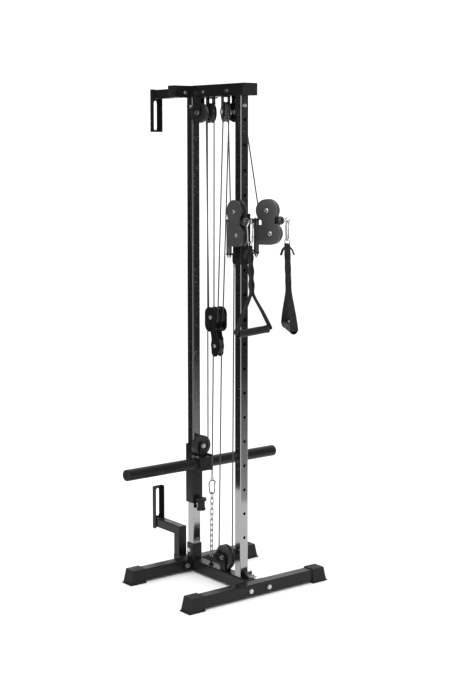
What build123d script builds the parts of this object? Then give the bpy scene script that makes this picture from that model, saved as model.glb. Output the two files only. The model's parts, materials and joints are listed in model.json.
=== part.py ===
from build123d import *
from math import cos, radians, sin
import os

# Plate-loaded cable pulley tower with a height-adjustable pair of swivel pulleys.
# Millimetres. +Z is up, +Y points to the wall and -Y to the user, and X runs along the feet.
# Everything is laid out from the rear upright's centre line, and moved at the end so that
# the origin is the centre of the footprint, on the floor.

# ---- driving dimensions -------------------------------------------------------------
HEIGHT = 2100          # floor to the top of the beam
UPRIGHT = 40           # square chrome uprights
FRONT_Y = -331         # front upright's centre
WALL_Y = 283           # wall plane, behind the rear upright
TUBE = 50              # square frame tube
WALL = 2               # tube wall
BEAM_WIDTH = 75        # top beam
BEAM_FRONT_Y = -385
FOOT_FRONT_Y = -429    # centre lines of the two feet
FOOT_REAR_Y = 15
FOOT_FRONT_HALF = 348
FOOT_REAR_HALF = 329
FOOT_RISE = 8          # tubes stand this far above the floor, on their end caps
CABLE_R = 2.75
GROOVE_GAP = 0.35      # between a cable and its groove
RUN = 0.3              # free clearance round moving pieces
HINGE_GAP = 0.05       # running clearance of pins and bushes, on the radius
HOLE_PITCH = 101.6     # adjustment holes of the front upright
FIRST_HOLE_Z = 226
HOLE_COUNT = 18
ADJUST_HOLE_R = 6.5
PIN_HOLE = 13          # the hole that the pop pin is in

# Pulleys: pitch radius, rim radius, width
TOP_PULLEY = (36, 42, 20)
WEIGHT_PULLEY = (38, 44, 20)
BASE_PULLEY = (46, 52, 22)
BLOCK_SHEAVE = (31, 36.5, 20)
LOWER_SHEAVE = (28.5, 33, 20)
SWIVEL_PULLEY = (40, 45.5, 20)
AXLE_R = 5

TOP_PULLEY_Z = 1986
REAR_TOP = (29.5, -84, 14)       # |X|, Y and toe-in of the rear top pulleys
FRONT_TOP = (28.2, -261.5, 21.5)  # |X|, Y and toe-out of the front top pulleys
WEIGHT_PULLEY_Y = -50
WEIGHT_PULLEY_Z = 566
BASE_PULLEY_Y = -223
BASE_PULLEY_Z = 114
BLOCK_Y = -157
BLOCK_Z = 1133
LOWER_Y = -168
LOWER_Z = 1013

SLEEVE = 54            # outside of the sleeves that ride on the uprights
BAR_R = 24
BAR_HALF = 399
BAR_Y = -60
BAR_Z = 492
CARRIAGE_Z = (1368, 1574)        # pulley carriage sleeve
WEIGHT_SLEEVE_Z = (380.5, 565)
HINGE_X = 71
HINGE_Y = -339
HINGE_Z = (1415, 1545)
SWIVEL_ANGLE = {"left": 0, "right": 28.5}   # about +Z, at rest
UPPER = (50, 1586)     # outward distance from the hinge and height of the upper pulley
LOWER = (65, 1492)
EXIT_Z = UPPER[1] - SWIVEL_PULLEY[0]
BALL_OUT = 105
BALL_R = 18
RING_OUT = 136         # outward distance of the ring that the handle hangs in
RING_R = 9             # ring at the cable's end, on its wire's centre line
RING_WIRE = 2.2
HOOK = (80, 30, 3.4)   # height, width and wire radius of the handles' carabiners
RING_Z = EXIT_Z + 3
HOOK_Z = RING_Z - RING_R + RING_WIRE + HOOK[2] + RUN
GRIP_HALF = 72
GRIP_R = 16.5
GRIP_BORE = 12.9
GRIP_AT = {             # each grip's centre and direction, as it hangs
    "left": ((-62, -484, 1111), (148, -15, 13)),
    "right": ((126, -487, 1113), (67, 134, 10)),
}

PIN_Z = FIRST_HOLE_Z + PIN_HOLE * HOLE_PITCH
UPRIGHT_FOOT_Z = FOOT_RISE + TUBE
BEAM_UNDER_Z = HEIGHT - TUBE

pieces = {}


def keep(name, *shapes):
    """Adds solids to the named piece."""
    pieces.setdefault(name, []).extend(s for shape in shapes for s in shape.solids())


def tube(width, depth, length, wall=WALL, corner=4):
    """Square tube along +Z from z = 0."""
    outer = RectangleRounded(width, depth, corner)
    inner = RectangleRounded(width - 2 * wall, depth - 2 * wall, max(corner - wall, 1))
    return extrude(outer - inner, length)


def bar(width, depth, length, corner=4):
    """Solid rounded bar along +Z from z = 0."""
    return extrude(RectangleRounded(width, depth, corner), length)


def along_x(shape):
    """Turns +Z to +X."""
    return Rot(0, 90, 0) * shape


def along_y(shape):
    """Turns +Z to +Y."""
    return Rot(-90, 0, 0) * shape


def block(x0, x1, y0, y1, z0, z1):
    """Box between two corners."""
    centre = ((x0 + x1) / 2, (y0 + y1) / 2, (z0 + z1) / 2)
    return Pos(*centre) * Box(x1 - x0, y1 - y0, z1 - z0)


def rod(start, end, radius):
    """Cylinder between two points."""
    start, end = Vector(*start), Vector(*end)
    plane = Plane(origin=start, z_dir=end - start)
    return plane * extrude(Circle(radius), (end - start).length)


def bolt_head(at, direction, across=17, height=6, washer=10):
    """Washer and hexagon head, standing on a face at the point given."""
    plane = Plane(origin=at, z_dir=direction)
    head = Pos(0, 0, 1.5) * extrude(RegularPolygon(across / 2, 6, major_radius=False), height)
    return plane * (extrude(Circle(washer), 1.5) + head)


def through_bolt(start, end, radius=AXLE_R):
    """Hexagon bolt and nut across two faces."""
    direction = Vector(*end) - Vector(*start)
    return (
        rod(start, end, radius)
        + bolt_head(start, -direction)
        + bolt_head(end, direction)
    )


def pulley(size, groove=CABLE_R + GROOVE_GAP):
    """Grooved wheel round +Z, with a recessed web, a hub and a bore."""
    pitch, rim, width = size
    half = width / 2
    recess = half - 4
    wheel = extrude(Circle(rim), half, both=True)
    mouth = rim - pitch + 1
    flare = mouth * 0.45
    cut = Pos(pitch, 0) * Circle(groove)
    cut += make_face(
        Polyline(
            (pitch, -groove),
            (pitch + mouth, -groove - flare),
            (pitch + mouth, groove + flare),
            (pitch, groove),
            close=True,
        )
    )
    wheel -= revolve(Plane.XZ * cut, Axis.Z)
    ring = Circle(pitch - groove - 4) - Circle(AXLE_R + 8)
    for side in (-1, 1):
        wheel -= Pos(0, 0, side * (half - (half - recess) / 2)) * extrude(
            ring, (half - recess) / 2, both=True
        )
    return wheel - extrude(Circle(AXLE_R + HINGE_GAP), width, both=True)


def cable(start, end, short=1.2):
    """Straight taut stretch of cable, a little short of what it runs on to at each end."""
    start, end = Vector(*start), Vector(*end)
    step = (end - start).normalized() * short
    return rod(tuple(start + step), tuple(end - step), CABLE_R)


def cable_arc(radius, from_angle, sweep_angle):
    """Cable round a pulley whose axle is +X: 0 degrees is +Y and 90 is +Z."""
    start = (0, radius * cos(radians(from_angle)), radius * sin(radians(from_angle)))
    section = Plane(origin=start, x_dir=(1, 0, 0), z_dir=(0, -start[2], start[1]))
    turned = revolve(section * Circle(CABLE_R), Axis.X, sweep_angle)
    return turned


# ---- base -----------------------------------------------------------------------------
CAP_LENGTH = 76
CAP_SHELL = 3.5
CAP_SLOPE = 14         # how far the cap's end leans in
SOCKET_BOLT_Z = 97
FOOT_BOLT_X = 48
SOCKET = UPRIGHT + 2 * 4


def foot_tube(y, half):
    """Foot tube along X, between the insides of its end caps."""
    length = 2 * (half - CAP_SHELL)
    shape = Pos(-half + CAP_SHELL, y, FOOT_RISE + TUBE / 2) * along_x(tube(TUBE, TUBE, length))
    for side in (-1, 1):
        shape -= Pos(side * FOOT_BOLT_X, y, FOOT_RISE + TUBE / 2) * Rot(90, 0, 0) * extrude(
            Circle(AXLE_R), TUBE, both=True
        )
    return shape


def foot_cap(y, half, side):
    """Rubber end cap, splayed towards the floor, with a lip round its foot."""
    top_z = FOOT_RISE + TUBE + CAP_SHELL
    inner = half - CAP_LENGTH
    top_half = TUBE / 2 + CAP_SHELL
    low_half = top_half + 3
    bottom = Plane.XY * Pos((inner + half) / 2, 0) * Rectangle(CAP_LENGTH, 2 * low_half)
    top = Plane.XY.offset(top_z) * Pos((inner + half - CAP_SLOPE) / 2, 0) * Rectangle(
        CAP_LENGTH - CAP_SLOPE, 2 * top_half
    )
    body = loft([bottom, top])
    body += block(inner, half + 3, -low_half - 2, low_half + 2, 0, 5)
    cavity_end = half - CAP_SLOPE - CAP_SHELL
    body -= block(inner - 1, cavity_end, -TUBE / 2, TUBE / 2, FOOT_RISE, FOOT_RISE + TUBE)
    if side < 0:
        body = Rot(0, 0, 180) * body
    return Pos(0, y, 0) * body


for foot_y, foot_half, name in (
    (FOOT_FRONT_Y, FOOT_FRONT_HALF, "front_foot"),
    (FOOT_REAR_Y, FOOT_REAR_HALF, "rear_foot"),
):
    keep(name, foot_tube(foot_y, foot_half))
    for side in (-1, 1):
        keep("foot_caps", foot_cap(foot_y, foot_half + CAP_SLOPE, side))

# The centre beam runs between the feet, with a flange on each end.
FLANGE = 5
beam_front = FOOT_FRONT_Y + TUBE / 2
beam_rear = FOOT_REAR_Y - TUBE / 2
centre_beam = Pos(0, beam_front + FLANGE, FOOT_RISE + TUBE / 2) * along_y(
    tube(TUBE, TUBE, beam_rear - beam_front - 2 * FLANGE, wall=3)
)
for flange_y in (beam_front, beam_rear - FLANGE):
    plate = bar(2 * FOOT_BOLT_X + 34, TUBE - 4, FLANGE, 10)
    plate = Pos(0, flange_y, FOOT_RISE + TUBE / 2) * along_y(plate)
    for side in (-1, 1):
        plate -= Pos(side * FOOT_BOLT_X, flange_y, FOOT_RISE + TUBE / 2) * Rot(90, 0, 0) * extrude(
            Circle(AXLE_R), 3 * FLANGE, both=True
        )
    centre_beam += plate

# Socket for the rear upright, welded to the beam and the rear foot.
SOCKET_TOP = 126
socket = Pos(0, 0, UPRIGHT_FOOT_Z) * tube(SOCKET, SOCKET, SOCKET_TOP - UPRIGHT_FOOT_Z, wall=4, corner=5)
socket -= Pos(0, 0, SOCKET_BOLT_Z) * Rot(0, 90, 0) * extrude(Circle(AXLE_R), SOCKET, both=True)
keep("rear_socket", socket)

rear_upright = Pos(0, 0, UPRIGHT_FOOT_Z) * tube(UPRIGHT, UPRIGHT, BEAM_UNDER_Z - UPRIGHT_FOOT_Z)
for bolt_z in (SOCKET_BOLT_Z, 2015):
    rear_upright -= Pos(0, 0, bolt_z) * Rot(0, 90, 0) * extrude(Circle(AXLE_R), UPRIGHT, both=True)
keep("rear_upright", rear_upright)

front_upright = Pos(0, FRONT_Y, UPRIGHT_FOOT_Z) * tube(UPRIGHT, UPRIGHT, BEAM_UNDER_Z - UPRIGHT_FOOT_Z)
for k in range(HOLE_COUNT):
    hole = Rot(90, 0, 0) * extrude(Circle(ADJUST_HOLE_R), 5, both=True)
    front_upright -= Pos(0, FRONT_Y - UPRIGHT / 2, FIRST_HOLE_Z + k * HOLE_PITCH) * hole
keep("front_upright", front_upright)

# Triangular gusset in front of the front upright, welded to the beam.
front_face = FRONT_Y - UPRIGHT / 2
gusset_outline = make_face(
    Polyline((front_face, 80), (front_face, UPRIGHT_FOOT_Z), (front_face - 38, UPRIGHT_FOOT_Z), close=True)
)
centre_beam += Pos(-3, 0, 0) * extrude(Plane.YZ * gusset_outline, 6)
keep("centre_beam", centre_beam)

# Corner bracket bolted beside it.
corner = block(8, 38, front_face - 4, front_face, UPRIGHT_FOOT_Z + 4, 78)
corner += block(8, 38, front_face - 34, front_face, UPRIGHT_FOOT_Z, UPRIGHT_FOOT_Z + 4)
keep("corner_bracket", corner)

# ---- top ------------------------------------------------------------------------------
CROSS_HALF = 113
PLUG = 4
cross_z = HEIGHT - TUBE / 2
cross_tube = Pos(-CROSS_HALF + PLUG, 0, cross_z) * along_x(tube(TUBE, TUBE, 2 * (CROSS_HALF - PLUG)))
keep("cross_tube", cross_tube)
top_beam = Pos(0, BEAM_FRONT_Y + PLUG, cross_z) * along_y(
    tube(BEAM_WIDTH, TUBE, -TUBE / 2 - BEAM_FRONT_Y - PLUG, wall=2.5)
)
beam_flange = Pos(0, -TUBE / 2 - FLANGE, cross_z - 6) * along_y(bar(150, TUBE - 12, FLANGE, 8))
top_beam += beam_flange
keep("top_beam", top_beam)
for side in (-1, 1):
    plug_x = side * (CROSS_HALF - PLUG / 2) - PLUG / 2
    keep("tube_plugs", Pos(plug_x, 0, cross_z) * along_x(bar(TUBE, TUBE, PLUG)))
keep("tube_plugs", Pos(0, BEAM_FRONT_Y, cross_z) * along_y(bar(BEAM_WIDTH, TUBE, PLUG)))

# ---- wall brackets --------------------------------------------------------------------
CHANNEL_WIDTH = 50
CHANNEL_DEPTH = 22
CHANNEL_HEIGHT = 185
CHANNEL_WALL = 5
SLOT_LENGTH = 128
SLOT_WIDTH = 18
SLOT_INSET = 8
ARM = 40
TOP_CHANNEL_Z = (HEIGHT - 5 - CHANNEL_HEIGHT, HEIGHT - 5)
LOW_CHANNEL_Z = (132, 324)
TOP_SLOT_Z = TOP_CHANNEL_Z[0] + SLOT_INSET + SLOT_LENGTH / 2
LOW_SLOT_Z = LOW_CHANNEL_Z[1] - 12 - SLOT_LENGTH / 2
POST_Y = 107


def wall_channel(z_range, slot_z):
    """Slotted channel, its web flat on the wall and its flanges forward."""
    half = CHANNEL_WIDTH / 2
    front = WALL_Y - CHANNEL_DEPTH
    shape = block(-half, half, front, WALL_Y, *z_range)
    shape -= block(-half + 4, half - 4, front - 1, WALL_Y - CHANNEL_WALL, z_range[0] - 1, z_range[1] + 1)
    slot = Rot(90, 0, 0) * extrude(Rot(0, 0, 90) * SlotOverall(SLOT_LENGTH, SLOT_WIDTH), 20, both=True)
    return shape - Pos(0, WALL_Y, slot_z) * slot


web_front = WALL_Y - CHANNEL_WALL
top_arm_z = HEIGHT - 7 - ARM / 2
top_bracket = wall_channel(TOP_CHANNEL_Z, TOP_SLOT_Z)
top_bracket += Pos(0, TUBE / 2, top_arm_z) * along_y(tube(ARM, ARM, web_front - TUBE / 2))
keep("top_wall_bracket", top_bracket)

low_arm_z = LOW_CHANNEL_Z[0] + 7 + ARM / 2
foot_back = FOOT_REAR_Y + TUBE / 2
low_bracket = wall_channel(LOW_CHANNEL_Z, LOW_SLOT_Z)
low_bracket += Pos(0, POST_Y - ARM / 2, low_arm_z) * along_y(tube(ARM, ARM, web_front - POST_Y + ARM / 2))
low_bracket += Pos(0, foot_back, 10 + ARM / 2) * along_y(tube(ARM, ARM, POST_Y + ARM / 2 - foot_back))
low_bracket += Pos(0, POST_Y, 10 + ARM) * tube(ARM, ARM, low_arm_z - ARM / 2 - 10 - ARM)
low_bracket += block(-ARM / 2, ARM / 2, POST_Y - ARM / 2, POST_Y - ARM / 2 + WALL, 10, low_arm_z + ARM / 2)
keep("lower_wall_bracket", low_bracket)

# ---- top pulleys ----------------------------------------------------------------------
HANGER_GAP = TOP_PULLEY[2] + 3


def hanger():
    """Inverted U bracket over a pulley at the origin, whose axle is +X."""
    half = HANGER_GAP / 2
    reach = BEAM_UNDER_Z - TOP_PULLEY_Z
    outline = Circle(15) + Pos(0, reach / 2) * Rectangle(30, reach)
    cheeks = None
    for side in (half, -half - 4):
        cheek = Pos(side, 0, 0) * extrude(Plane.YZ * outline, 4)
        cheeks = cheek if cheeks is None else cheeks + cheek
    shape = cheeks + block(-half - 4, half + 4, -15, 15, reach - 5, reach)
    return shape - Rot(0, 90, 0) * extrude(Circle(AXLE_R), 40, both=True)


top_pulleys = {}
for row, (px, py, toe) in (("rear", REAR_TOP), ("front", FRONT_TOP)):
    for side_name, side in (("left", -1), ("right", 1)):
        # Rear pulleys toe in towards the front, front pulleys toe out.
        turn = (side if row == "rear" else -side) * -toe
        place = Pos(side * px, py, TOP_PULLEY_Z) * Rot(0, 0, turn)
        top_pulleys[row, side_name] = place
        keep(f"{row}_{side_name}_top_pulley", place * Rot(0, 90, 0) * pulley(TOP_PULLEY))
        keep("pulley_brackets", place * hanger())
        reach = HANGER_GAP / 2 + 4
        keep("frame_bolts", place * through_bolt((-reach, 0, 0), (reach, 0, 0)))

# ---- base pulley ----------------------------------------------------------------------
cheek_gap = BASE_PULLEY[2] + 3
GUARD_BACK = 34
GUARD_R = 20
lift = BASE_PULLEY_Z - UPRIGHT_FOOT_Z
# Each cheek has a rounded guard that reaches back past the rim.
cheek_outline = Circle(17) + Pos(0, -lift / 2) * Rectangle(34, lift)
cheek_outline += Pos(GUARD_BACK, -3) * Circle(GUARD_R)
cheek_outline += Pos(GUARD_BACK / 2, -3) * Rectangle(GUARD_BACK, 1.6 * GUARD_R)
base_bracket = None
for side in (cheek_gap / 2, -cheek_gap / 2 - 4):
    cheek = Pos(side, BASE_PULLEY_Y, BASE_PULLEY_Z) * extrude(Plane.YZ * cheek_outline, 4)
    base_bracket = cheek if base_bracket is None else base_bracket + cheek
base_at = Pos(0, BASE_PULLEY_Y, BASE_PULLEY_Z)
base_bracket -= base_at * Rot(0, 90, 0) * extrude(Circle(AXLE_R), 40, both=True)
keep("pulley_brackets", base_bracket)
keep("base_pulley", base_at * Rot(0, 90, 0) * pulley(BASE_PULLEY))
reach = cheek_gap / 2 + 4
keep("frame_bolts", base_at * through_bolt((-reach, 0, 0), (reach, 0, 0)))

# ---- chain ----------------------------------------------------------------------------
CHAIN_Y = -123
EYE_Z = 84
eye = Pos(0, CHAIN_Y, UPRIGHT_FOOT_Z) * (extrude(Circle(11), 6) + Pos(0, 0, 6) * extrude(Circle(5), 10))
eye += Pos(0, CHAIN_Y, EYE_Z) * Rot(0, 90, 0) * Torus(9, 3)
keep("anchor_chain", eye)
LINK_WIRE = 2
LINK_INNER = 23.4      # pitch of the chain
LINK_WIDTH = 13
CHAIN_LEAN = 0.5       # forward step of each link


def chain_link():
    """Oval link in the XZ plane, centred on the origin."""
    straight = (LINK_INNER - LINK_WIDTH + 2 * LINK_WIRE + 2) / 2
    r = LINK_WIDTH / 2
    section = Plane.XY * Pos(r, 0) * Circle(LINK_WIRE)
    shape = Pos(0, 0, -straight) * revolve(section, Axis.Y, 180)
    shape += Pos(0, 0, straight) * revolve(section, Axis.Y, -180)
    for x in (-r, r):
        shape += rod((x, 0, -straight), (x, 0, straight), LINK_WIRE)
    return shape


LINK_COUNT = 12
FIRST_LINK_Z = EYE_Z + 18.5
link = chain_link()
for k in range(LINK_COUNT):
    place = Pos(0, CHAIN_Y - CHAIN_LEAN * k, FIRST_LINK_Z + k * LINK_INNER)
    keep("anchor_chain", place * Rot(0, 0, 90 * (k % 2)) * link)
CHAIN_TOP = FIRST_LINK_Z + (LINK_COUNT - 0.5) * LINK_INNER - 4.3    # just inside the last link


def hook_body(height, width, wire):
    """Snap hook in the XZ plane, hanging from the origin, open on its +X side."""
    half = width / 2
    path = FilletPolyline(
        (half * 0.8, 0, -height * 0.34),
        (half, 0, -height * 0.12),
        (half * 0.45, 0, 0),
        (-half * 0.45, 0, 0),
        (-half, 0, -height * 0.2),
        (-half * 0.7, 0, -height),
        (half * 0.75, 0, -height),
        (half * 0.8, 0, -height * 0.76),
        radius=[half * 0.35, half * 0.4, half * 0.4, half * 0.5, half * 0.55, half * 0.55],
    )
    section = Plane(origin=path @ 0, z_dir=path % 0) * Circle(wire)
    return sweep(section, path=path)


def hook_gate(height, width, wire):
    """Straight gate that closes the hook."""
    x = width / 2 * 0.8
    radius = wire * 0.8
    low, high = -height * 0.76 + radius + 0.5, -height * 0.34 - 1.2
    pivot = rod((x, -wire, low), (x, wire, low), radius)
    return rod((x, 0, low), (x, 0, high), radius) + pivot


ANCHOR_HOOK = (57, 28, 3)
HOOK_TURN = -20        # turned about Z, near to facing the photograph
hook_y = CHAIN_Y - CHAIN_LEAN * LINK_COUNT
hook_place = Pos(0, hook_y, CHAIN_TOP + ANCHOR_HOOK[0] + 2) * Rot(0, 0, HOOK_TURN)
keep("anchor_chain", hook_place * hook_body(*ANCHOR_HOOK), hook_place * hook_gate(*ANCHOR_HOOK))

# ---- weight carriage ------------------------------------------------------------------
LINER_HEIGHT = 18
INNER_CLEAR = 3        # between a sleeve and its upright, filled by nylon liners


def sleeve(z_range, y=0):
    """Square sleeve round an upright."""
    wall = (SLEEVE - UPRIGHT) / 2 - INNER_CLEAR
    return Pos(0, y, z_range[0]) * tube(SLEEVE, SLEEVE, z_range[1] - z_range[0], wall, corner=5)


def liners(z_range, y=0):
    """Nylon liner frames at the top and bottom of a sleeve."""
    wall = INNER_CLEAR - 0.3
    size = UPRIGHT + 2 * INNER_CLEAR
    frames = []
    for z in (z_range[0] + 1, z_range[1] - 1 - LINER_HEIGHT):
        frames.append(Pos(0, y, z) * tube(size, size, LINER_HEIGHT, wall=wall, corner=3.2))
    return frames


keep("weight_sleeve", sleeve(WEIGHT_SLEEVE_Z))
keep("weight_liners", *liners(WEIGHT_SLEEVE_Z))

BLOCK_HALF = 30
BLOCK_LOW_Z = 462
BLOCK_TOP_Z = 520
block_front = -90
bar_block = Pos(0, (block_front - SLEEVE / 2) / 2, BLOCK_LOW_Z) * bar(
    2 * BLOCK_HALF, -SLEEVE / 2 - block_front, BLOCK_TOP_Z - BLOCK_LOW_Z, 8
)
bar_block -= Pos(0, BAR_Y, BAR_Z) * Rot(0, 90, 0) * extrude(Circle(BAR_R - 3), 60, both=True)
pulley_gap = WEIGHT_PULLEY[2] / 2 + 1.5
cheek_top = WEIGHT_PULLEY_Z - BLOCK_TOP_Z
for cheek_y in (WEIGHT_PULLEY_Y + pulley_gap, WEIGHT_PULLEY_Y - pulley_gap - 4):
    outline = Pos(0, WEIGHT_PULLEY_Z) * Circle(16)
    outline += Pos(0, BLOCK_TOP_Z + cheek_top / 2) * Rectangle(32, cheek_top)
    bar_block += Pos(0, cheek_y + 4, 0) * extrude(Plane.XZ * outline, 4)
weight_axle = Pos(0, WEIGHT_PULLEY_Y, WEIGHT_PULLEY_Z) * Rot(90, 0, 0)
bar_block -= weight_axle * extrude(Circle(AXLE_R), 60, both=True)
keep("bar_block", bar_block)
reach = pulley_gap + 4
# The axle's front end has a bolt head, and its rear end, close to the sleeve, a thin one.
axle = weight_axle * extrude(Circle(AXLE_R), reach, both=True)
axle += bolt_head((0, WEIGHT_PULLEY_Y - reach, WEIGHT_PULLEY_Z), (0, -1, 0))
axle += weight_axle * Pos(0, 0, -reach - 2) * extrude(Circle(9), 2)
keep("carriage_bolts", axle)
keep("weight_pulley", weight_axle * pulley(WEIGHT_PULLEY))
for side in (-1, 1):
    flange_x = side * (BLOCK_HALF + 3)
    half_bar = Pos(side * BLOCK_HALF, BAR_Y, BAR_Z) * (
        Rot(0, side * 90, 0)
        * (
            extrude(RectangleRounded(70, 58, 8), 6)
            + extrude(Circle(BAR_R) - Circle(BAR_R - 2.5), BAR_HALF - BLOCK_HALF - 12)
        )
    )
    keep("load_bar", half_bar)
    cap = Rot(0, side * 90, 0) * (extrude(Circle(BAR_R), 12))
    cap = fillet(cap.edges().sort_by(Axis.X)[-1 if side > 0 else 0], 9)
    keep("load_bar_caps", Pos(side * (BAR_HALF - 12), BAR_Y, BAR_Z) * cap)
    for dy in (-13, 13):
        at = (side * (BLOCK_HALF + 6), BAR_Y + dy, BAR_Z + 29)
        keep("carriage_bolts", bolt_head(at, (side, 0, 0), 10, 5, 6))

# Fixed collar that the carriage comes down on, with a rubber buffer in front.
COLLAR_Z = (309, WEIGHT_SLEEVE_Z[0] - 0.5)
ARM_Z = (311, 321)     # arm that carries the buffer
collar = tube(SLEEVE, SLEEVE, COLLAR_Z[1] - COLLAR_Z[0], wall=(SLEEVE - UPRIGHT) / 2, corner=5)
collar = Pos(0, 0, COLLAR_Z[0]) * collar
collar += block(-14, 14, -SLEEVE / 2 - 12, -SLEEVE / 2 + 2, ARM_Z[0], ARM_Z[1])
keep("rest_collar", collar)
BUFFER_POST_Y = -SLEEVE / 2 - 24
buffer_line = [(0, 281), (19, 281), (19, 290), (16, 294), (16, 318), (23, 323), (23, 333), (0, 333)]
buffer_profile = make_face(Polyline(*buffer_line, close=True))
collar_buffer = Pos(0, BUFFER_POST_Y, 0) * revolve(Plane.XZ * buffer_profile, Axis.Z)
arm_slot = block(-15, 15, -SLEEVE / 2 - 12, -SLEEVE / 2 + 2, ARM_Z[0] - 1, ARM_Z[1] + 1)
keep("rest_buffer", collar_buffer - arm_slot)

# ---- floating block -------------------------------------------------------------------
PLATE = 4
bay = BLOCK_SHEAVE[2] + 3
plate_x = [-1.5 * PLATE - bay, -PLATE / 2, PLATE / 2 + bay]
upper_outline = Pos(BLOCK_Y, BLOCK_Z - 9) * RectangleRounded(78, 104, 30)
window = Pos(BLOCK_Y, BLOCK_Z - 46) * Circle(8)
block_frame = None
for x in plate_x:
    plate = Pos(x, 0, 0) * extrude(Plane.YZ * (upper_outline - window), PLATE)
    block_frame = plate if block_frame is None else block_frame + plate
block_width = plate_x[-1] + PLATE
for y, z, r in ((BLOCK_Y - 25, BLOCK_Z - 47, 4), (BLOCK_Y + 25, BLOCK_Z - 47, 4)):
    block_frame += rod((-block_width, y, z), (block_width, y, z), r)
block_frame += rod((-block_width - 3, BLOCK_Y, BLOCK_Z), (block_width + 3, BLOCK_Y, BLOCK_Z), AXLE_R)
lower_half = LOWER_SHEAVE[2] / 2 + 1.5
neck_top = BLOCK_Z - 52
lower_outline = Pos(LOWER_Y, LOWER_Z) * RectangleRounded(44, 92, 20)
neck = make_face(
    Polyline(
        (LOWER_Y - 20, LOWER_Z + 20),
        (BLOCK_Y - 20, neck_top),
        (BLOCK_Y + 20, neck_top),
        (LOWER_Y + 20, LOWER_Z + 20),
        close=True,
    )
)
for side in (lower_half, -lower_half - PLATE):
    block_frame += Pos(side, 0, 0) * extrude(Plane.YZ * (lower_outline + neck), PLATE)
block_frame += block(-block_width, block_width, BLOCK_Y - 16, BLOCK_Y + 16, neck_top - 3, neck_top + 3)
block_frame += rod((-lower_half - PLATE, LOWER_Y, LOWER_Z), (lower_half + PLATE, LOWER_Y, LOWER_Z), AXLE_R)
keep("block_frame", block_frame)
for side_name, side in (("left", -1), ("right", 1)):
    place = Pos(side * (bay / 2 + PLATE / 2), BLOCK_Y, BLOCK_Z) * Rot(0, 90, 0)
    keep(f"block_{side_name}_sheave", place * pulley(BLOCK_SHEAVE))
keep("block_lower_sheave", Pos(0, LOWER_Y, LOWER_Z) * Rot(0, 90, 0) * pulley(LOWER_SHEAVE))
SHEAVE_X = bay / 2 + PLATE / 2

# ---- pulley carriage ------------------------------------------------------------------
carriage = sleeve(CARRIAGE_Z, FRONT_Y)
LUG = 6
for lug_z in (HINGE_Z[0] - RUN - LUG, HINGE_Z[1] + RUN):
    for side in (-1, 1):
        near, far = sorted((side * 26, side * HINGE_X))
        lug = block(near, far, HINGE_Y - 13, HINGE_Y + 13, lug_z, lug_z + LUG)
        lug += Pos(side * HINGE_X, HINGE_Y, lug_z) * extrude(Circle(13), LUG)
        lug -= Pos(side * HINGE_X, HINGE_Y, lug_z) * extrude(Circle(6), 30, both=True)
        carriage += lug
pin_y = FRONT_Y - SLEEVE / 2
carriage += Pos(0, pin_y - 14, PIN_Z) * along_y(extrude(Circle(11), 16))
carriage -= Pos(0, pin_y - 20, PIN_Z) * along_y(extrude(Circle(5.8), 26))
CABLE_LUG_Y = -281
lug_back = FRONT_Y + SLEEVE / 2
carriage += block(-3, 3, lug_back - 1, CABLE_LUG_Y + 8, CARRIAGE_Z[0] + 4, CARRIAGE_Z[0] + 34)
keep("pulley_carriage", carriage)
keep("carriage_liners", *liners(CARRIAGE_Z, FRONT_Y))
for side in (-1, 1):
    pin_length = HINGE_Z[1] - HINGE_Z[0] + 2 * LUG + 16
    pin = Pos(side * HINGE_X, HINGE_Y, HINGE_Z[0] - LUG - 12) * extrude(Circle(6), pin_length)
    pin += Pos(side * HINGE_X, HINGE_Y, HINGE_Z[1] + LUG + RUN) * extrude(Circle(9), 5)
    pin += Pos(side * HINGE_X, HINGE_Y, HINGE_Z[0] - LUG - RUN - 7) * extrude(Circle(9), 7)
    keep("hinge_pins", pin)
# The pop pin is drawn out, with its tip just clear of the upright, in line with a hole.
pin_tip = FRONT_Y - UPRIGHT / 2 - 0.7
knob_front = pin_y - 43
knob = Pos(0, knob_front, PIN_Z) * along_y(extrude(Circle(11), 17))
knob += Pos(0, knob_front + 10, PIN_Z) * along_y(extrude(Circle(5.5), pin_tip - knob_front - 10))
keep("pop_pin", knob)

# ---- swivel units and handles ---------------------------------------------------------
CHEEK = 3.5
CHEEK_IN = SWIVEL_PULLEY[2] / 2 + 2.5
DISC_R = (47, 46)
STRAP_RING_R = 11
STRAP_RING_DROP = -HOOK[0] + HOOK[2] + RING_WIRE + RUN - STRAP_RING_R
LEG_REACH = GRIP_HALF + 15


def cheek_outline_2d():
    """Two discs joined by a waist, with an arm back to the hinge. Drawn as (outward, height)."""
    upper = Pos(UPPER[0], UPPER[1]) * Circle(DISC_R[0])
    lower = Pos(LOWER[0], LOWER[1]) * Circle(DISC_R[1])
    waist = Pos(58, 1541) * Rectangle(58, 50)
    arm = Pos(37, 1486) * Rectangle(56, 80)
    return upper + lower + waist + arm


def hook_at(place):
    """Carabiner of a handle, with the ring that holds the strap."""
    ring = Pos(0, 0, STRAP_RING_DROP) * Rot(0, 90, 0) * Torus(STRAP_RING_R, RING_WIRE)
    return place * hook_body(*HOOK), place * ring


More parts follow.
